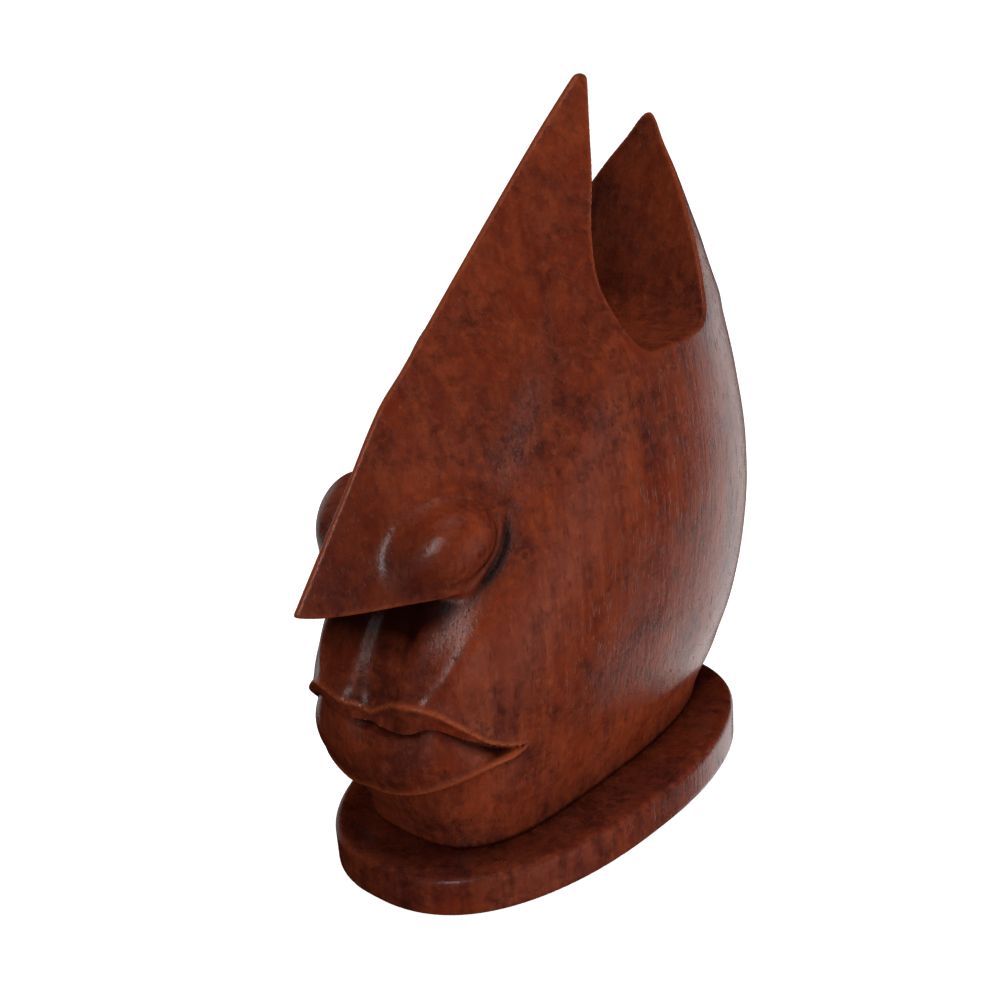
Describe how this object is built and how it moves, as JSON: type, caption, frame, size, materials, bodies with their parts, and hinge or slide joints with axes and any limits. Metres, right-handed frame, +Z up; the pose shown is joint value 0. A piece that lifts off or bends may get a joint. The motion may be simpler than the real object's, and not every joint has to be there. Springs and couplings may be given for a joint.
{
  "type": "eyeglasses display stand",
  "caption": "Carved wooden half-portrait on an oval plinth; glasses sit on the bridge of the nose and folded temples lie in the notch behind the brow.",
  "frame": {"origin": "centre of the felt pad's resting face, under the middle of the oval plinth", "axes": "+Z up; the face looks along -Y; +X is towards the figure's left cheek, on the viewer's right"},
  "size_m": [0.0695, 0.1378, 0.1647],
  "materials": {
    "head_wood": "red-brown stain under satin varnish",
    "plinth_wood": "red-brown stain under satin varnish",
    "screw_steel": "zinc plated",
    "felt": "pressed felt"
  },
  "bodies": {
    "root": {"carved_head": "head_wood", "plinth": "plinth_wood", "front_screw": "screw_steel", "rear_screw": "screw_steel", "felt_pad": "felt"}
  },
  "joints": []
}
